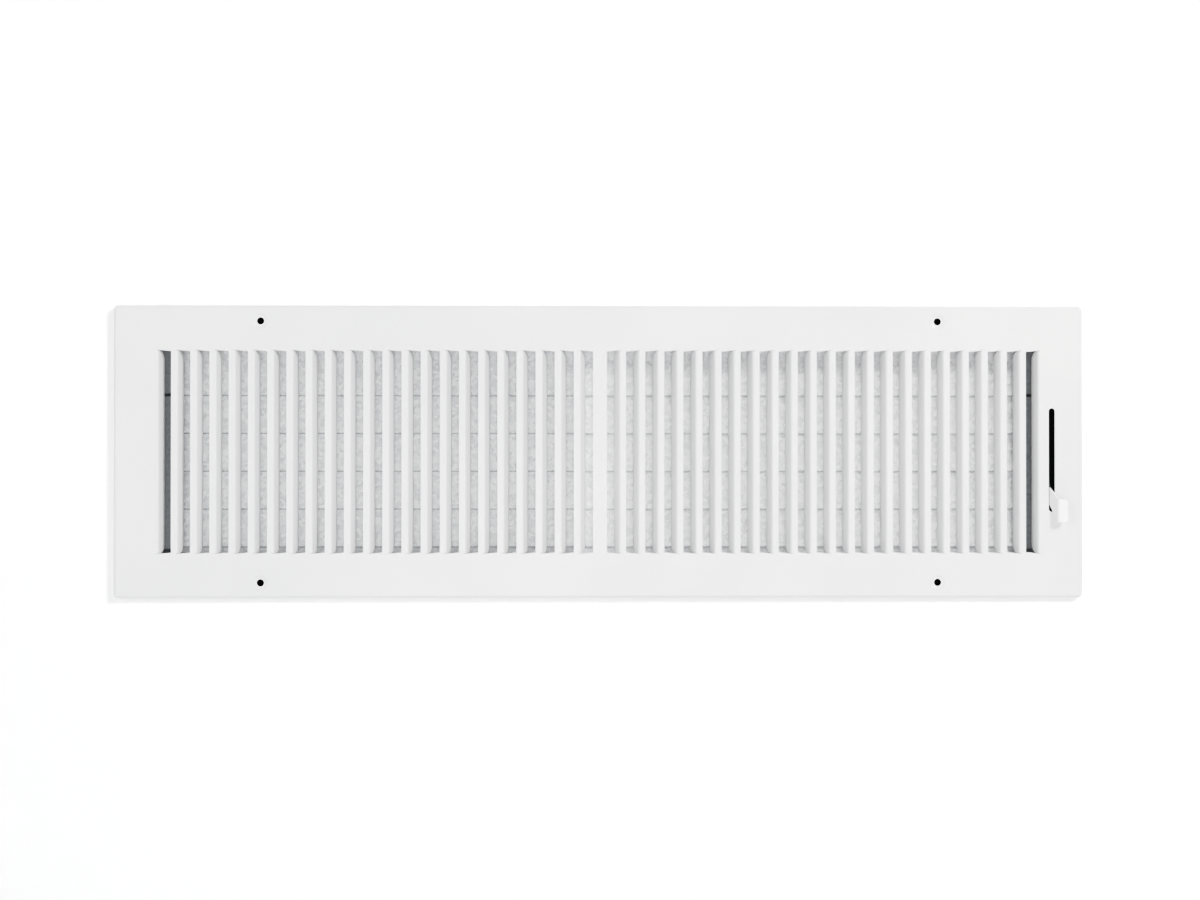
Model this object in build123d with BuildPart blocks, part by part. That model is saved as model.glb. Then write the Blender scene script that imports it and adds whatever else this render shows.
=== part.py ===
from build123d import *
import os
from math import asin, cos, degrees, floor, hypot, radians, sin, tan

# Sidewall register with a lever-worked damper, in millimetres and degrees.
# X runs along the face, +Y goes into the wall and +Z is up. The origin is the middle of the wall opening,
# in the plane where the turned-back rim meets the wall.

# Face
duct_length = 609.6
duct_height = 152.4
face_margin = 22.225
rim_depth = 6.35
face_sheet = 0.8
rim_bend_radius = 2.0
face_corner_radius = 3.0

# Louvers
louver_pitch = 12.906
strip_width = 3.4
centre_strip_width = 9.5
louver_bend = 68.0
louver_bend_radius = 1.0
louver_corner_radius = 6.5
shear_gap = 0.3
slot_end_margin = 3.5
slot_end_taper = 0.9
field_end_margin = 0.5

# Screw holes
screw_spacing_x = 457.2
screw_hole_radius = 2.4
dimple_radius = 5.0
dimple_floor_radius = 3.4
dimple_depth = 0.6
screw_flange_gap = 1.7

# Damper frame
collar_end_clearance = 4.3
collar_side_clearance = 3.2
frame_sheet = 0.8
frame_bend_radius = 0.8
rail_flange = 8.5
stop_lip_lap = 2.8
end_flange_return = 6.0
tab_length = 10.0
tab_width = 7.0
notch_height = 2.0
foot_relief = 4.4
louver_clearance = 1.4
fit_gap = 0.3

# Blades
blade_count = 5
blade_sheet = 0.6
blade_bend_radius = 0.6
blade_end_gap = 7.95
blade_lap = 1.7
blade_gap = 1.2
blade_back_lip = 3.0
pivot_setback = 5.0
ear_radius = 6.0
link_space = 10.7
corner_clip_length = 4.0
corner_clip_height = 1.2
sweep_clearance = 2.5

# Pins, rivets and tie bar
pin_radius = 2.0
pin_shoulder_radius = 3.0
pin_head_radius = 4.0
pin_shank_radius = 2.5
tip_head_radius = 3.2
head_height = 1.0
head_bevel = 0.3
running_clearance = 0.08
crank_radius = 10.0
crank_arm_width = 8.0
tie_bar_sheet = 1.2
tie_bar_width = 7.0
tie_rivet_radius = 1.8
corner_rivet_radius = 1.6
corner_rivet_head_radius = 3.0

# Lever, its shaft, bush and washer
lever_standoff = 4.05
lever_sheet = 1.0
lever_width = 7.5
lever_hub_radius = 6.5
lever_rest_angle = 48.0
lever_travel = 85.0
lever_bend = 35.0
lever_bend_radius = 2.0
thumb_reach = 7.0
thumb_length = 6.2
thumb_drop = 4.8
thumb_corner_radius = 2.8
lever_slot_width = 4.0
lever_slot_side_gap = 0.3
slot_end_clearance = 4.0
shaft_square = 5.0
shaft_collar_radius = 5.5
bush_wall = 1.4
bush_flange_radius = 6.5
bush_flange = 1.0
bush_inner_length = 1.0
washer_radius = 6.0
washer_sheet = 0.5
washer_rise = 0.5

# Sizes that follow from the ones above
face_length = duct_length + 2 * face_margin
face_height = duct_height + 2 * face_margin
face_front = -rim_depth
face_back = face_front + face_sheet
collar_half_length = duct_length / 2 - collar_end_clearance
collar_half_height = duct_height / 2 - collar_side_clearance
inner_half_length = collar_half_length - frame_sheet
inner_half_height = collar_half_height - frame_sheet

slot_width = louver_pitch - strip_width
slot_half_height = inner_half_height - slot_end_margin
field_half_length = inner_half_length - field_end_margin - centre_strip_width / 2
louvers_per_side = floor((field_half_length + strip_width) / louver_pitch)
leaf_bend_line = louver_bend_radius + face_sheet / 2
leaf_flat = slot_width - shear_gap - leaf_bend_line * radians(louver_bend)
leaf_rounding = min(louver_corner_radius, leaf_flat - shear_gap)
leaf_drop = leaf_bend_line * (1 - cos(radians(louver_bend))) + leaf_flat * sin(radians(louver_bend))
louver_reach = (face_sheet + face_sheet * cos(radians(louver_bend))) / 2 + leaf_drop

screw_height = collar_half_height + rail_flange + screw_flange_gap + dimple_radius

blade_pitch = 2 * (inner_half_height - blade_end_gap) / blade_count
blade_width = blade_pitch + blade_lap
blade_tilt = degrees(asin((blade_sheet + blade_gap) / blade_width))
blade_heights = [((blade_count - 1) / 2 - row) * blade_pitch for row in range(blade_count)]
drive_row = blade_count // 2
drive_height = blade_heights[drive_row]
blade_sweep = hypot(pivot_setback + blade_sheet / 2, blade_width / 2)
end_flange_front = face_front + louver_reach + louver_clearance
pivot_back = end_flange_front + frame_sheet + sweep_clearance + blade_sweep
end_plate_back = pivot_back + blade_sweep + sweep_clearance
ear_outside = inner_half_length - link_space
ear_inside = ear_outside - blade_sheet
blade_bend_line = blade_bend_radius + blade_sheet / 2
flat_half_length = ear_inside - 2 * blade_bend_line
end_flange_edge = ear_outside + fit_gap

top_blade_edge = pivot_back + blade_width / 2 * sin(radians(blade_tilt)) - pivot_setback - blade_sheet / 2
stop_lip_back = top_blade_edge - blade_gap
stop_lip_bottom = blade_heights[0] + blade_width / 2 - stop_lip_lap
bottom_blade_edge = pivot_back - blade_width / 2 * sin(radians(blade_tilt)) - pivot_setback + blade_sheet / 2
bottom_lip_back = bottom_blade_edge + blade_gap + frame_sheet
bottom_lip_top = blade_heights[-1] - blade_width / 2 + stop_lip_lap

crank_angle = lever_travel / 2
crank_back = crank_radius * cos(radians(crank_angle))
crank_up = crank_radius * sin(radians(crank_angle))
tie_bar_inside = ear_outside + fit_gap
tie_bar_outside = tie_bar_inside + tie_bar_sheet
corner_rivet_x = inner_half_length - tab_length / 2
tab_middle = (end_flange_front + stop_lip_back) / 2

lever_inside = collar_half_length + lever_standoff
lever_outside = lever_inside + lever_sheet
lever_middle = lever_inside + lever_sheet / 2
lever_open_angle = lever_travel - lever_rest_angle
lever_slot_middle = lever_inside - lever_slot_side_gap + lever_slot_width / 2
thumb_middle = face_back - thumb_reach
thumb_front = thumb_middle - lever_sheet / 2
thumb_back = thumb_middle + lever_sheet / 2
thumb_start = lever_middle + thumb_reach * tan(radians(lever_bend))
thumb_end = thumb_start + thumb_length


def lever_height(angle, depth, edge):
    """Height where the lever's middle line, or an edge, crosses a depth, at an angle above level."""
    slope = radians(angle)
    return drive_height + (pivot_back - depth) * tan(slope) + edge * lever_width / 2 / cos(slope)


slot_top = lever_height(lever_open_angle, face_front, 1) + slot_end_clearance
slot_bottom = lever_height(-lever_rest_angle, face_front, -1) - slot_end_clearance


def louver_leaf(side):
    """One louver, hinged at its outer edge on the given side and bent back toward the centre."""
    with BuildPart() as leaf:
        with BuildSketch(Plane.XY):
            with BuildLine():
                bend = JernArc((0, face_sheet / 2), (-side, 0), leaf_bend_line, -side * louver_bend)
                Line(bend @ 1, bend @ 1 + (bend % 1) * leaf_flat)
            trace(line_width=face_sheet)
        extrude(amount=slot_half_height - shear_gap, both=True)
        free_edge = leaf.faces().sort_by(Axis.Y)[-1]
        fillet(free_edge.edges().sort_by(SortBy.LENGTH)[:2], radius=leaf_rounding)
    return leaf.part


def stepped_pin(steps):
    """A pin along +X from the origin. Each step is its length and radius, and both ends are bevelled."""
    with BuildPart() as pin:
        start = 0
        for length, radius in steps:
            with BuildSketch(Plane.YZ.offset(start)):
                Circle(radius)
            extrude(amount=length)
            start += length
        rims = pin.edges().filter_by(GeomType.CIRCLE).sort_by(Axis.X)
        chamfer([rims[0], rims[-1]], length=head_bevel)
    return pin.part


# Face plate: a stamped pan with lanced louvers, dimpled screw holes and a slot for the lever
slot_edges = [centre_strip_width / 2 + count * louver_pitch for count in range(louvers_per_side)]
face_front_plane = Plane.XZ.offset(rim_depth)
face_back_plane = face_front_plane.offset(-face_sheet)
with BuildPart() as face_plate:
    with BuildSketch(Plane.XZ):
        RectangleRounded(face_length, face_height, face_corner_radius)
    extrude(amount=rim_depth)
    fillet(face_plate.faces().sort_by(Axis.Y)[0].edges(), radius=rim_bend_radius)
    offset(amount=-face_sheet, openings=face_plate.faces().sort_by(Axis.Y)[-1])
    for side in (-1, 1):
        with BuildSketch(face_front_plane):
            free_half = slot_half_height - slot_end_taper
            with Locations(*[(side * edge, 0) for edge in slot_edges]):
                Polygon(
                    (0, -free_half),
                    (side * slot_width, -slot_half_height),
                    (side * slot_width, slot_half_height),
                    (0, free_half),
                    align=None,
                )
        extrude(amount=-rim_depth, mode=Mode.SUBTRACT)
    with Locations(face_back_plane):
        with GridLocations(screw_spacing_x, 2 * screw_height, 2, 2):
            Cone(
                dimple_floor_radius, dimple_radius, dimple_depth,
                align=(Align.CENTER, Align.CENTER, Align.MAX),
            )
    with Locations(face_front_plane):
        with GridLocations(screw_spacing_x, 2 * screw_height, 2, 2):
            Cone(
                dimple_floor_radius, dimple_radius, dimple_depth,
                align=(Align.CENTER, Align.CENTER, Align.MAX), mode=Mode.SUBTRACT,
            )
            Cylinder(screw_hole_radius, 2 * rim_depth, mode=Mode.SUBTRACT)
    with BuildSketch(face_front_plane):
        with Locations((lever_slot_middle, (slot_top + slot_bottom) / 2)):
            SlotOverall(slot_top - slot_bottom, lever_slot_width, rotation=90)
    extrude(amount=-rim_depth, mode=Mode.SUBTRACT)
    for side in (-1, 1):
        with Locations(*[(side * (edge + slot_width), face_front, 0) for edge in slot_edges]):
            add(louver_leaf(side))
face_plate.part.label = "face_plate"

# Rails: folded strips between the end plates, welded by their front flanges to the back of the face
rail_half_length = inner_half_length - fit_gap
lip_clip_length = rail_half_length - flat_half_length
flange_middle = face_back + frame_sheet / 2
web_middle = collar_half_height - frame_sheet / 2
with BuildPart() as top_rail:
    with BuildSketch(Plane.YZ):
        with BuildLine():
            FilletPolyline(
                (flange_middle, collar_half_height + rail_flange),
                (flange_middle, web_middle),
                (stop_lip_back - frame_sheet / 2, web_middle),
                (stop_lip_back - frame_sheet / 2, stop_lip_bottom),
                radius=frame_bend_radius + frame_sheet / 2,
            )
        trace(line_width=frame_sheet)
    extrude(amount=rail_half_length, both=True)
    with BuildSketch(Plane.XZ.offset(-stop_lip_back)):
        with Locations((rail_half_length, web_middle), (-rail_half_length, web_middle)):
            Rectangle(2 * lip_clip_length, 4 * rail_flange)
    extrude(amount=frame_sheet + frame_bend_radius, mode=Mode.SUBTRACT)
    with BuildSketch(Plane.XY.offset(collar_half_height)):
        with Locations((corner_rivet_x, tab_middle), (-corner_rivet_x, tab_middle)):
            Circle(corner_rivet_radius + running_clearance)
    extrude(amount=-frame_sheet, mode=Mode.SUBTRACT)
top_rail.part.label = "top_rail"

with BuildPart() as bottom_rail:
    with BuildSketch(Plane.YZ):
        with BuildLine():
            FilletPolyline(
                (flange_middle, -collar_half_height - rail_flange),
                (flange_middle, -web_middle),
                (bottom_lip_back - frame_sheet / 2, -web_middle),
                (bottom_lip_back - frame_sheet / 2, bottom_lip_top),
                radius=frame_bend_radius + frame_sheet / 2,
            )
        trace(line_width=frame_sheet)
    extrude(amount=rail_half_length, both=True)
    with BuildSketch(Plane.XZ.offset(-bottom_lip_back)):
        with Locations((rail_half_length, -web_middle), (-rail_half_length, -web_middle)):
            Rectangle(2 * lip_clip_length, 4 * rail_flange)
    extrude(amount=frame_sheet + frame_bend_radius, mode=Mode.SUBTRACT)
    with BuildSketch(Plane.XY.offset(-collar_half_height)):
        with Locations((corner_rivet_x, tab_middle), (-corner_rivet_x, tab_middle)):
            Circle(corner_rivet_radius + running_clearance)
    extrude(amount=frame_sheet, mode=Mode.SUBTRACT)
bottom_rail.part.label = "bottom_rail"


def end_plate(side, shaft_hole_radius):
    """A folded channel that carries one end of each blade, with a tab under each rail."""
    frame_bend_line = frame_bend_radius + frame_sheet / 2
    web_half_height = inner_half_height - 2 * frame_bend_line
    web_x = side * (collar_half_length - frame_sheet / 2)
    with BuildPart() as plate:
        with BuildSketch(Plane.XY):
            with BuildLine():
                FilletPolyline(
                    (side * end_flange_edge, end_flange_front + frame_sheet / 2),
                    (web_x, end_flange_front + frame_sheet / 2),
                    (web_x, end_plate_back - frame_sheet / 2),
                    (web_x - side * end_flange_return, end_plate_back - frame_sheet / 2),
                    radius=frame_bend_line,
                )
            trace(line_width=frame_sheet)
        extrude(amount=web_half_height, both=True)
        for up in (-1, 1):
            with BuildSketch(Plane.XZ.offset(-tab_middle)):
                with BuildLine():
                    FilletPolyline(
                        (web_x, up * (web_half_height - frame_bend_line)),
                        (web_x, up * (inner_half_height - frame_sheet / 2)),
                        (side * (inner_half_length - tab_length), up * (inner_half_height - frame_sheet / 2)),
                        radius=frame_bend_line,
                    )
                trace(line_width=frame_sheet)
            extrude(amount=tab_width / 2, both=True)
        with BuildSketch(Plane.XY.offset(-inner_half_height)):
            with Locations((side * corner_rivet_x, tab_middle)):
                Circle(corner_rivet_radius + running_clearance)
        extrude(amount=2 * inner_half_height, mode=Mode.SUBTRACT)
        with BuildSketch(Plane.YZ.offset(web_x)):
            with Locations(*[(pivot_back, height) for height in blade_heights]):
                Circle(pin_shank_radius + running_clearance)
            with Locations((pivot_back, drive_height)):
                Circle(shaft_hole_radius)
        extrude(amount=frame_sheet, both=True, mode=Mode.SUBTRACT)
        with BuildSketch(Plane.XZ.offset(-end_flange_front)):
            with Locations((side * end_flange_edge, (blade_heights[0] + blade_heights[1]) / 2)):
                Rectangle(link_space, notch_height)
            with Locations((side * end_flange_edge, -web_half_height)):
                Rectangle(link_space, 2 * foot_relief)
        extrude(amount=-frame_sheet, mode=Mode.SUBTRACT)
    return plate.part


# End plates: the right one has a wider hole at mid height, for the bush of the lever shaft
bush_radius = pin_shoulder_radius + running_clearance + bush_wall
left_end_plate = end_plate(-1, pin_shank_radius + running_clearance)
left_end_plate.label = "left_end_plate"
right_end_plate = end_plate(1, bush_radius + running_clearance)
right_end_plate.label = "right_end_plate"

# Corner rivets: one through each tab and its rail
corner_rivet = stepped_pin([
    (head_height, corner_rivet_head_radius),
    (2 * frame_sheet, corner_rivet_radius),
    (head_height, corner_rivet_head_radius),
])
rivet_lowest = inner_half_height - frame_sheet - head_height
rivet_highest = collar_half_height + head_height
with BuildPart() as corner_rivets:
    for foot in (rivet_lowest, -rivet_highest):
        with Locations(Plane((0, 0, foot), x_dir=(0, 1, 0), z_dir=(1, 0, 0))):
            with Locations((tab_middle, 0, corner_rivet_x), (tab_middle, 0, -corner_rivet_x)):
                add(corner_rivet, rotation=(0, 0, 90))
corner_rivets.part.label = "corner_rivets"


# Blade: folded about its pivot axis, with a back lip along its top and an ear bent back at each end
with BuildPart() as blade:
    with BuildSketch(Plane.YZ):
        with BuildLine():
            FilletPolyline(
                (-pivot_setback, -blade_width / 2),
                (-pivot_setback, blade_width / 2 - blade_sheet / 2),
                (blade_back_lip - pivot_setback, blade_width / 2 - blade_sheet / 2),
                radius=blade_bend_line,
            )
        trace(line_width=blade_sheet)
    extrude(amount=flat_half_length, both=True)
    with BuildSketch(Plane.XZ):
        with GridLocations(2 * flat_half_length, blade_width, 2, 2):
            Rectangle(2 * corner_clip_length, 2 * corner_clip_height)
    extrude(amount=2 * pivot_setback, mode=Mode.SUBTRACT)
    for side in (-1, 1):
        ear_root = 2 * blade_bend_line - pivot_setback
        with BuildSketch(Plane.XY):
            with BuildLine():
                FilletPolyline(
                    (side * flat_half_length, -pivot_setback),
                    (side * (ear_outside - blade_sheet / 2), -pivot_setback),
                    (side * (ear_outside - blade_sheet / 2), ear_root),
                    radius=blade_bend_line,
                )
            trace(line_width=blade_sheet)
        extrude(amount=ear_radius, both=True)
        with BuildSketch(Plane.YZ.offset(side * ear_outside)):
            with BuildLine():
                Polyline((0, ear_radius), (ear_root, ear_radius), (ear_root, -ear_radius), (0, -ear_radius))
                ThreePointArc((0, -ear_radius), (ear_radius, 0), (0, ear_radius))
            make_face()
            if side > 0:
                crank_turn = crank_angle + blade_tilt
                with PolarLocations(crank_radius / 2, 1, start_angle=crank_turn):
                    SlotCenterToCenter(crank_radius, crank_arm_width)
                with PolarLocations(crank_radius, 1, start_angle=crank_turn):
                    Circle(tie_rivet_radius + running_clearance, mode=Mode.SUBTRACT)
            Circle(pin_radius + running_clearance, mode=Mode.SUBTRACT)
        extrude(amount=-side * blade_sheet)

# The five blades, from the top down, closed and lapped
up_blade = (0, sin(radians(blade_tilt)), cos(radians(blade_tilt)))
blades = []
for row, height in enumerate(blade_heights, start=1):
    with BuildPart() as placed_blade:
        with Locations(Plane((0, pivot_back, height), x_dir=(1, 0, 0), z_dir=up_blade)):
            add(blade.part)
    placed_blade.part.label = f"blade_{row}"
    blades.append(placed_blade.part)

# Pivot pins: riveted into the end plates, with a thin tip that carries the blade's ear
ear_play = blade_sheet + 2 * fit_gap
pivot_pin = stepped_pin([
    (head_height, tip_head_radius),
    (ear_play, pin_radius),
    (link_space - fit_gap, pin_shoulder_radius),
    (frame_sheet, pin_shank_radius),
    (head_height, pin_head_radius),
])
pin_start = ear_inside - fit_gap - head_height
side_heights = blade_heights[:drive_row] + blade_heights[drive_row + 1:]
with BuildPart() as pivot_pins_right:
    with Locations(*[(pin_start, pivot_back, height) for height in side_heights]):
        add(pivot_pin)
pivot_pins_right.part.label = "pivot_pins_right"

with BuildPart() as pivot_pins_left:
    with Locations(*[(-pin_start, pivot_back, height) for height in blade_heights]):
        add(pivot_pin, rotation=(0, 0, 180))
pivot_pins_left.part.label = "pivot_pins_left"

# Tie bar and its rivets: they link the right ears, so all the blades turn together
with BuildPart() as tie_bar:
    with BuildSketch(Plane.YZ.offset(tie_bar_inside)):
        with Locations((pivot_back + crank_back, crank_up)):
            bar_length = (blade_count - 1) * blade_pitch + tie_bar_width
            SlotOverall(bar_length, tie_bar_width, rotation=90)
            with GridLocations(0, blade_pitch, 1, blade_count):
                Circle(tie_rivet_radius, mode=Mode.SUBTRACT)
    extrude(amount=tie_bar_sheet)
tie_bar.part.label = "tie_bar"

tie_rivet = stepped_pin([
    (head_height, tip_head_radius),
    (tie_bar_outside - ear_inside + fit_gap, tie_rivet_radius),
    (head_height, tip_head_radius),
])
with BuildPart() as tie_bar_rivets:
    with Locations(*[(pin_start, pivot_back + crank_back, height + crank_up) for height in blade_heights]):
        add(tie_rivet)
tie_bar_rivets.part.label = "tie_bar_rivets"

# Lever: a strip beside the right end plate, bent in the slot and again at its thumb pad
half_width_back = lever_width / 2 * sin(radians(lever_rest_angle))
half_width_up = lever_width / 2 * cos(radians(lever_rest_angle))
thumb_top = lever_height(-lever_rest_angle, thumb_back, 1)
thumb_bottom = lever_height(-lever_rest_angle, thumb_back, -1) - thumb_drop
with BuildPart() as lever:
    with BuildSketch(Plane.XY.offset(thumb_bottom)):
        with BuildLine():
            FilletPolyline(
                (lever_middle, pivot_back + lever_hub_radius),
                (lever_middle, face_back),
                (thumb_start, thumb_middle),
                (thumb_end, thumb_middle),
                radius=lever_bend_radius + lever_sheet / 2,
            )
        trace(line_width=lever_sheet)
    extrude(amount=drive_height + lever_hub_radius - thumb_bottom)
    with BuildSketch(Plane.YZ.offset(lever_inside)):
        Polygon(
            (pivot_back - half_width_back, drive_height + half_width_up),
            (thumb_back, thumb_top),
            (thumb_front, thumb_top),
            (thumb_front, thumb_bottom),
            (thumb_back, thumb_bottom),
            (face_front, lever_height(-lever_rest_angle, face_front, -1)),
            (pivot_back + half_width_back, drive_height - half_width_up),
            align=None,
        )
        with Locations((pivot_back, drive_height)):
            Circle(lever_hub_radius)
            Rectangle(shaft_square, shaft_square, rotation=lever_rest_angle, mode=Mode.SUBTRACT)
    extrude(amount=thumb_end - lever_inside, mode=Mode.INTERSECT)
    thumb_edge = lever.faces().sort_by(Axis.X)[-1]
    fillet(thumb_edge.edges().filter_by(Axis.Y), radius=thumb_corner_radius)
lever.part.label = "lever"

# Lever shaft: turns in the bush, with the drive blade's ear on its inner tip and the lever on its square
bush_face = collar_half_length + bush_flange
washer_top = bush_face + washer_sheet + washer_rise
shaft_collar_start = washer_top + fit_gap / 2
shaft_steps = [
    (ear_inside - head_height, head_height, tip_head_radius),
    (ear_inside, blade_sheet, pin_radius),
    (ear_outside, shaft_collar_start - ear_outside, pin_shoulder_radius),
    (shaft_collar_start, lever_inside - shaft_collar_start, shaft_collar_radius),
    (lever_outside, head_height, pin_head_radius),
]
with BuildPart() as lever_shaft:
    for start, length, radius in shaft_steps:
        with BuildSketch(Plane.YZ.offset(start)):
            with Locations((pivot_back, drive_height)):
                Circle(radius)
        extrude(amount=length)
    with BuildSketch(Plane.YZ.offset(lever_inside)):
        with Locations((pivot_back, drive_height)):
            Rectangle(shaft_square, shaft_square, rotation=lever_rest_angle)
    extrude(amount=lever_sheet)
lever_shaft.part.label = "lever_shaft"

# Shaft bush: flanged, pressed into the right end plate
with BuildPart() as shaft_bush:
    with BuildSketch(Plane.YZ.offset(inner_half_length - bush_inner_length)):
        with Locations((pivot_back, drive_height)):
            Circle(bush_radius)
    extrude(amount=bush_inner_length + frame_sheet)
    with BuildSketch(Plane.YZ.offset(collar_half_length)):
        with Locations((pivot_back, drive_height)):
            Circle(bush_flange_radius)
    extrude(amount=bush_flange)
    with BuildSketch(Plane.YZ.offset(inner_half_length - bush_inner_length)):
        with Locations((pivot_back, drive_height)):
            Circle(pin_shoulder_radius + running_clearance)
    extrude(amount=bush_inner_length + frame_sheet + bush_flange, mode=Mode.SUBTRACT)
shaft_bush.part.label = "shaft_bush"

# Friction washer: a conical spring washer between the bush flange and the shaft's collar
washer_bore = pin_shoulder_radius + fit_gap
with BuildPart() as friction_washer:
    with BuildSketch(Plane((0, pivot_back, drive_height), x_dir=(1, 0, 0), z_dir=(0, 0, 1))):
        Polygon(
            (bush_face, washer_radius),
            (bush_face + washer_sheet, washer_radius),
            (washer_top, washer_bore),
            (washer_top - washer_sheet, washer_bore),
            align=None,
        )
    revolve(axis=Axis((0, pivot_back, drive_height), (1, 0, 0)))
friction_washer.part.label = "friction_washer"

pieces = [
    face_plate.part, top_rail.part, bottom_rail.part, left_end_plate, right_end_plate, corner_rivets.part,
    pivot_pins_left.part, pivot_pins_right.part, *blades, tie_bar.part, tie_bar_rivets.part,
    lever.part, lever_shaft.part, shaft_bush.part, friction_washer.part,
]
os.makedirs("parts", exist_ok=True)
for piece in pieces:
    export_step(piece, f"parts/{piece.label}.step")

print("pivot", round(pivot_back, 3), "blade pitch", round(blade_pitch, 3), "tilt", round(blade_tilt, 3))
print("crank", round(crank_back, 3), round(crank_up, 3), "screw height", round(screw_height, 3))
print("lever slot", round(slot_bottom, 2), "to", round(slot_top, 2), "at", round(lever_slot_middle, 2))
print("end plates", round(end_flange_front, 2), "to", round(end_plate_back, 2), "ear", round(ear_outside, 2))
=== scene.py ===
import bpy
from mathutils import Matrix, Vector


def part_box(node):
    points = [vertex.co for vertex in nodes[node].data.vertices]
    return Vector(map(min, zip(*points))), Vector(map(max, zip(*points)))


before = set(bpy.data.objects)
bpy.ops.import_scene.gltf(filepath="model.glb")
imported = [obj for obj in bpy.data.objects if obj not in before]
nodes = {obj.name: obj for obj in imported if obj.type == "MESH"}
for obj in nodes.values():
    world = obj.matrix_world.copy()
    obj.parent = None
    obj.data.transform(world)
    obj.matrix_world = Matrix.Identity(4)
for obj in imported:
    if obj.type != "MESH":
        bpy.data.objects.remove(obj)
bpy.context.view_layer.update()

# Looks of the sidewall register, in metres: X along the face, +Y into the wall, +Z up
face_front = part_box("face_plate")[0].y

# Camera, and how its picture tones follow the tones of the scene
camera_place = Vector((-0.0614, -2.2, -0.0203))
camera_aim = Vector((0.0, face_front, 0.0013))
camera_lens = 97.55
sensor_width = 36.0
response_points = ((0.1, 0.12), (0.45, 0.62), (0.8, 0.82))

# Stage: the opening in the wall is a little smaller than the face that covers it
wall_plane = 0.0003
wall_half_length = 0.75
wall_top = 0.75
opening_half_length = 0.322
opening_half_height = 0.0935
floor_height = -1.1
floor_half_length = 4.0

# Surroundings: dark inside a cone about +Y, given by the cosines at its edge and its core
sky_tone = (0.95, 0.96, 0.97)
duct_tone = (0.004, 0.004, 0.004)
cone_edge = 0.84
cone_core = 0.92
sky_strength = 0.42

# Colours of the lights
light_white = (1.0, 1.0, 1.0)
light_warm = (1.0, 0.99, 0.98)

# Place along Y where the lever's white ends, just behind the front of the face; past it the lever is
# painted near black as painted shade inside the slot
shade_past_front = 0.00055
lever_shade_edge = face_front + shade_past_front

# Share of a blade's height painted darker along its lower edge: painted shade for the shadow line where
# the blades lap
blade_lap_shade_share = 0.045

# Darkest and lightest spangle of the sheets, and how metallic they look. The end plates' zinc is darker,
# partly as a darker sheet and partly as painted shade of the recess behind the outer louvers.
pale_zinc = {"dark": (0.72, 0.725, 0.73), "light": (0.97, 0.97, 0.97), "metal": 0.1}
dark_and_shaded_zinc = {"dark": (0.11, 0.117, 0.124), "light": (0.165, 0.173, 0.18), "metal": 0.5}

# Colour sockets of a mix node, which share their names with its other sockets
base_socket = 6
tint_socket = 7
result_socket = 2


def make_node(tree, kind, **inputs):
    """A new node. Each value is set on the input of that name or, for a socket, linked to it."""
    made = tree.nodes.new(kind)
    for key, value in inputs.items():
        if isinstance(value, bpy.types.NodeSocket):
            tree.links.new(value, made.inputs[key])
        else:
            made.inputs[key].default_value = value
    return made


def make_ramp(tree, factor, *stops):
    """A colour ramp between two stops, each a place and a colour."""
    ramp = make_node(tree, "ShaderNodeValToRGB", Fac=factor)
    for element, (place, colour) in zip(ramp.color_ramp.elements, stops):
        element.position = place
        element.color = (*colour, 1)
    return ramp.outputs["Color"]


def make_range(tree, value, low, high, start=0.0, end=1.0):
    """Spreads a value that runs from start to end over the range from low to high."""
    spread = make_node(tree, "ShaderNodeMapRange", Value=value)
    spread.inputs["From Min"].default_value = start
    spread.inputs["From Max"].default_value = end
    spread.inputs["To Min"].default_value = low
    spread.inputs["To Max"].default_value = high
    return spread.outputs["Result"]


def new_material(name):
    """A new material, with its node tree, its principled shader and its object coordinates."""
    material = bpy.data.materials.new(name)
    material.use_nodes = True
    tree = material.node_tree
    shader = tree.nodes["Principled BSDF"]
    place = tree.nodes.new("ShaderNodeTexCoord").outputs["Object"]
    return material, tree, shader, place


def noise(tree, place, scale, detail):
    """A noise value at a scale given in cycles per metre."""
    made = make_node(tree, "ShaderNodeTexNoise", Vector=place, Scale=scale, Detail=detail)
    return made.outputs["Fac"]


def bump(tree, shader, height, depth):
    """Raises the surface by a height texture, with the depth in metres."""
    made = make_node(tree, "ShaderNodeBump", Height=height, Distance=depth)
    tree.links.new(made.outputs["Normal"], shader.inputs["Normal"])


def mix_tint(tree, amount, base, tint):
    """Multiplies a colour by a tint, by an amount."""
    mixed = tree.nodes.new("ShaderNodeMix")
    mixed.data_type = "RGBA"
    mixed.blend_type = "MULTIPLY"
    tree.links.new(amount, mixed.inputs["Factor"])
    tree.links.new(base, mixed.inputs[base_socket])
    mixed.inputs[tint_socket].default_value = (*tint, 1)
    return mixed.outputs[result_socket]


def powder_coat(name):
    """White baked coat: faint cloudiness, a fine orange peel and a satin gloss that varies a little."""
    material, tree, shader, place = new_material(name)
    dull_white = (0.83, 0.832, 0.83)
    clear_white = (0.865, 0.865, 0.86)
    speck_tint = (0.55, 0.55, 0.57)
    cloud = noise(tree, place, scale=7.0, detail=2.0)
    grain = noise(tree, place, scale=2600.0, detail=2.0)
    peel = noise(tree, place, scale=620.0, detail=1.5)
    white = make_ramp(tree, cloud, (0.35, dull_white), (0.65, clear_white))
    speck_amount = make_range(tree, grain, low=0.0, high=0.05)
    speckled = mix_tint(tree, speck_amount, white, speck_tint)
    roughness = make_range(tree, peel, low=0.36, high=0.5)
    tree.links.new(speckled, shader.inputs["Base Color"])
    tree.links.new(roughness, shader.inputs["Roughness"])
    shader.inputs["Specular IOR Level"].default_value = 0.45
    bump(tree, shader, peel, depth=0.00006)
    return material


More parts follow.
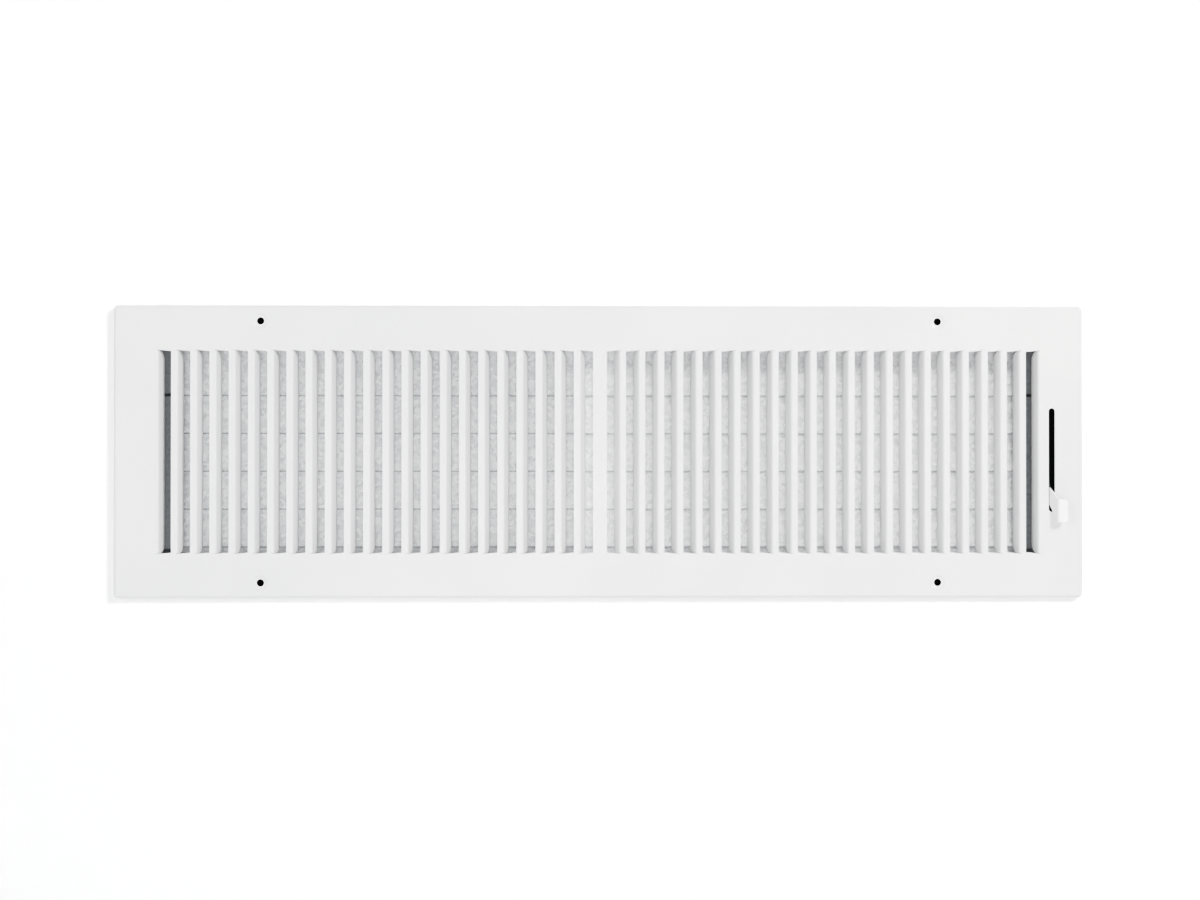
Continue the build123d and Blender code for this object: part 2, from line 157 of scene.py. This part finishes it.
def coat_with_painted_slot_shade(name, shade_edge):
    """White lever, painted near black past a place along Y as painted shade inside the slot, with an
    uneven edge and a soft gloss.
    """
    material, tree, shader, place = new_material(name)
    white_paint = (0.91, 0.91, 0.905)
    slot_shade_tone = (0.06, 0.062, 0.065)
    edge_waver = 0.0006
    edge_fade = 0.0008
    shade_end = shade_edge + edge_fade
    uneven = noise(tree, place, scale=500.0, detail=2.0)
    waver = make_range(tree, uneven, low=-edge_waver, high=edge_waver)
    depth = make_node(tree, "ShaderNodeSeparateXYZ", Vector=place).outputs["Y"]
    level = tree.nodes.new("ShaderNodeMath")
    level.operation = "ADD"
    tree.links.new(depth, level.inputs[0])
    tree.links.new(waver, level.inputs[1])
    # Painted shade: the lever turns near black past the edge, where it sits in the slot
    in_slot_shade = make_range(tree, level.outputs["Value"], low=0.0, high=1.0, start=shade_edge, end=shade_end)
    tone = make_ramp(tree, in_slot_shade, (0.0, white_paint), (1.0, slot_shade_tone))
    gloss = noise(tree, place, scale=620.0, detail=1.5)
    roughness = make_range(tree, gloss, low=0.34, high=0.5)
    metal = make_range(tree, in_slot_shade, low=0.0, high=0.7)
    ripple = noise(tree, place, scale=900.0, detail=2.0)
    tree.links.new(tone, shader.inputs["Base Color"])
    tree.links.new(roughness, shader.inputs["Roughness"])
    tree.links.new(metal, shader.inputs["Metallic"])
    bump(tree, shader, ripple, depth=0.00004)
    return material


def paint_lap_shade(tree, base, share):
    """Painted shade: darkens a colour along the lower edge of a piece, over a share of the piece's
    height, for the shadow line where blades lap.
    """
    lap_shade_tint = (0.42, 0.43, 0.44)
    box_place = tree.nodes.new("ShaderNodeTexCoord").outputs["Generated"]
    height = make_node(tree, "ShaderNodeSeparateXYZ", Vector=box_place).outputs["Z"]
    lap_shade = make_range(tree, height, low=1.0, high=0.0, end=share)
    return mix_tint(tree, lap_shade, base, lap_shade_tint)


def galvanised(name, dark, light, metal, lap_shade_share=0.0):
    """Zinc coated sheet: spangle of differing tone and gloss, fine flecks, perhaps painted shade along
    the lower edge for the lap line.
    """
    material, tree, shader, place = new_material(name)
    fleck_tint = (0.55, 0.57, 0.6)
    warp_reach = 0.0025
    warp = make_node(tree, "ShaderNodeTexNoise", Vector=place, Scale=260.0, Detail=2.0)
    bent = make_node(tree, "ShaderNodeVectorMath")
    bent.operation = "MULTIPLY_ADD"
    tree.links.new(warp.outputs["Color"], bent.inputs[0])
    bent.inputs[1].default_value = (warp_reach, warp_reach, warp_reach)
    tree.links.new(place, bent.inputs[2])
    cells = make_node(tree, "ShaderNodeTexVoronoi", Vector=bent.outputs["Vector"], Scale=420.0)
    spangle = make_node(tree, "ShaderNodeSeparateColor", Color=cells.outputs["Color"]).outputs["Red"]
    tone = make_ramp(tree, spangle, (0.0, dark), (1.0, light))
    flecks = noise(tree, place, scale=900.0, detail=3.0)
    fleck_amount = make_range(tree, flecks, low=0.0, high=0.35)
    zinc = mix_tint(tree, fleck_amount, tone, fleck_tint)
    # Painted shade along the lower edge, for the shadow line where blades lap
    if lap_shade_share:
        zinc = paint_lap_shade(tree, zinc, lap_shade_share)
    roughness = make_range(tree, spangle, low=0.34, high=0.52)
    tree.links.new(zinc, shader.inputs["Base Color"])
    tree.links.new(roughness, shader.inputs["Roughness"])
    shader.inputs["Metallic"].default_value = metal
    bump(tree, shader, flecks, depth=0.00003)
    return material


def plated_steel(name):
    """Bright zinc plate on small turned pieces: turning marks and a slightly clouded gloss."""
    material, tree, shader, place = new_material(name)
    dull_plate = (0.5, 0.51, 0.52)
    bright_plate = (0.66, 0.66, 0.65)
    cloud = noise(tree, place, scale=400.0, detail=3.0)
    marks = noise(tree, place, scale=3500.0, detail=1.0)
    tone = make_ramp(tree, cloud, (0.3, dull_plate), (0.7, bright_plate))
    roughness = make_range(tree, marks, low=0.26, high=0.44)
    tree.links.new(tone, shader.inputs["Base Color"])
    tree.links.new(roughness, shader.inputs["Roughness"])
    shader.inputs["Metallic"].default_value = 1.0
    bump(tree, shader, marks, depth=0.00002)
    return material


def nylon(name):
    """Natural moulded nylon: off-white, soft gloss, faint flow clouds."""
    material, tree, shader, place = new_material(name)
    deep_nylon = (0.68, 0.66, 0.6)
    pale_nylon = (0.77, 0.76, 0.7)
    cloud = noise(tree, place, scale=300.0, detail=2.0)
    grain = noise(tree, place, scale=1800.0, detail=1.0)
    tone = make_ramp(tree, cloud, (0.3, deep_nylon), (0.7, pale_nylon))
    roughness = make_range(tree, cloud, low=0.42, high=0.55)
    tree.links.new(tone, shader.inputs["Base Color"])
    tree.links.new(roughness, shader.inputs["Roughness"])
    bump(tree, shader, grain, depth=0.00002)
    return material


def stage_paint(name, tone, glow):
    """Plain pale paint for the wall and the floor."""
    material, tree, shader, place = new_material(name)
    lighter = tone + 0.015
    mottle = noise(tree, place, scale=3.0, detail=2.0)
    pale = make_ramp(tree, mottle, (0.3, (tone, tone, tone)), (0.7, (lighter, lighter, lighter)))
    tree.links.new(pale, shader.inputs["Base Color"])
    shader.inputs["Roughness"].default_value = 0.9
    shader.inputs["Emission Color"].default_value = (1.0, 1.0, 1.0, 1.0)
    shader.inputs["Emission Strength"].default_value = glow
    return material


def dress(material, *names):
    """Gives CAD nodes a material in place of their plain one."""
    for name in names:
        mesh = nodes[name].data
        mesh.materials.clear()
        mesh.materials.append(material)


def wall_corners(half_length, low, high):
    """The four corners of an upright rectangle in the plane of the wall."""
    return [
        (-half_length, wall_plane, low),
        (half_length, wall_plane, low),
        (half_length, wall_plane, high),
        (-half_length, wall_plane, high),
    ]


def stage_mesh(name, corners, faces, material):
    """A flat piece of the stage."""
    mesh = bpy.data.meshes.new(name)
    mesh.from_pydata(corners, [], faces)
    mesh.materials.append(material)
    made = bpy.data.objects.new(name, mesh)
    bpy.context.scene.collection.objects.link(made)


def area_light(name, place, size, power, colour):
    """A square soft box at a place, turned to the origin."""
    light = bpy.data.lights.new(name, "AREA")
    light.size = size
    light.energy = power
    light.color = colour
    made = bpy.data.objects.new(name, light)
    made.location = place
    made.rotation_euler = (-Vector(place)).to_track_quat("-Z", "Y").to_euler()
    bpy.context.scene.collection.objects.link(made)


# Finish of each piece
blade_names = [name for name in nodes if name.startswith("blade_")]
dress(powder_coat("white_coat"), "face_plate")
# The lever carries painted shade past the front of the face, where it sits in the slot
dress(coat_with_painted_slot_shade("lever_coat", lever_shade_edge), "lever")
dress(galvanised("rail_zinc", **pale_zinc), "top_rail", "bottom_rail")
# The blades carry painted shade along their lower edges, for the lap lines
dress(galvanised("blade_zinc", **pale_zinc, lap_shade_share=blade_lap_shade_share), *blade_names)
# End plates: darker zinc, partly painted shade of the recess behind the outer louvers
dress(galvanised("end_zinc", **dark_and_shaded_zinc), "left_end_plate", "right_end_plate")
dress(
    plated_steel("pin_steel"), "corner_rivets", "pivot_pins_left", "pivot_pins_right", "tie_bar",
    "tie_bar_rivets", "lever_shaft", "friction_washer",
)
dress(nylon("bush_nylon"), "shaft_bush")

# Stage: a pale wall with an opening that the face covers, and a pale floor
wall_outline = wall_corners(wall_half_length, floor_height, wall_top)
wall_opening = wall_corners(opening_half_length, -opening_half_height, opening_half_height)
wall_faces = [(side, (side + 1) % 4, (side + 1) % 4 + 4, side + 4) for side in range(4)]
wall_paint = stage_paint("wall_paint", tone=0.93, glow=0.12)
stage_mesh("wall", wall_outline + wall_opening, wall_faces, wall_paint)
floor_corners = [
    (x * floor_half_length, y * floor_half_length, floor_height)
    for x, y in ((-1, -1), (1, -1), (1, 1), (-1, 1))
]
floor_paint = stage_paint("floor_paint", tone=0.82, glow=0.0)
stage_mesh("floor", floor_corners, [(0, 1, 2, 3)], floor_paint)

# Light: a key box at the upper right, weaker ones at the left and in front, and one for the back
area_light("right_box", place=(1.5, -1.9, 1.2), size=0.5, power=25.0, colour=light_warm)
area_light("left_box", place=(-1.9, -2.1, 0.6), size=1.2, power=11.0, colour=light_white)
area_light("front", place=(-0.1, -3.4, -0.5), size=1.0, power=19.5, colour=light_white)
area_light("rear", place=(-1.2, 2.0, 1.6), size=1.4, power=16.0, colour=light_white)

# World: pale all round, but dark straight behind the wall, as inside a duct
world = bpy.data.worlds.new("studio")
bpy.context.scene.world = world
world.use_nodes = True
sky = world.node_tree
direction = sky.nodes.new("ShaderNodeTexCoord").outputs["Generated"]
into_wall = make_node(sky, "ShaderNodeSeparateXYZ", Vector=direction).outputs["Y"]
shade = make_ramp(sky, into_wall, (cone_edge, sky_tone), (cone_core, duct_tone))
sky.links.new(shade, sky.nodes["Background"].inputs["Color"])
sky.nodes["Background"].inputs["Strength"].default_value = sky_strength

# Camera at the photograph's angle
camera_data = bpy.data.cameras.new("camera")
camera_data.lens = camera_lens
camera_data.sensor_width = sensor_width
camera_data.sensor_fit = "HORIZONTAL"
camera = bpy.data.objects.new("camera", camera_data)
camera.location = camera_place
camera.rotation_euler = (camera_aim - camera_place).to_track_quat("-Z", "Y").to_euler()
bpy.context.scene.collection.objects.link(camera)
bpy.context.scene.camera = camera

# Camera response: lifts the middle tones, as the photograph has them
view = bpy.context.scene.view_settings
view.view_transform = "Standard"
view.use_curve_mapping = True
response = view.curve_mapping.curves[3]
for scene_tone, picture_tone in response_points:
    response.points.new(scene_tone, picture_tone)
view.curve_mapping.update()
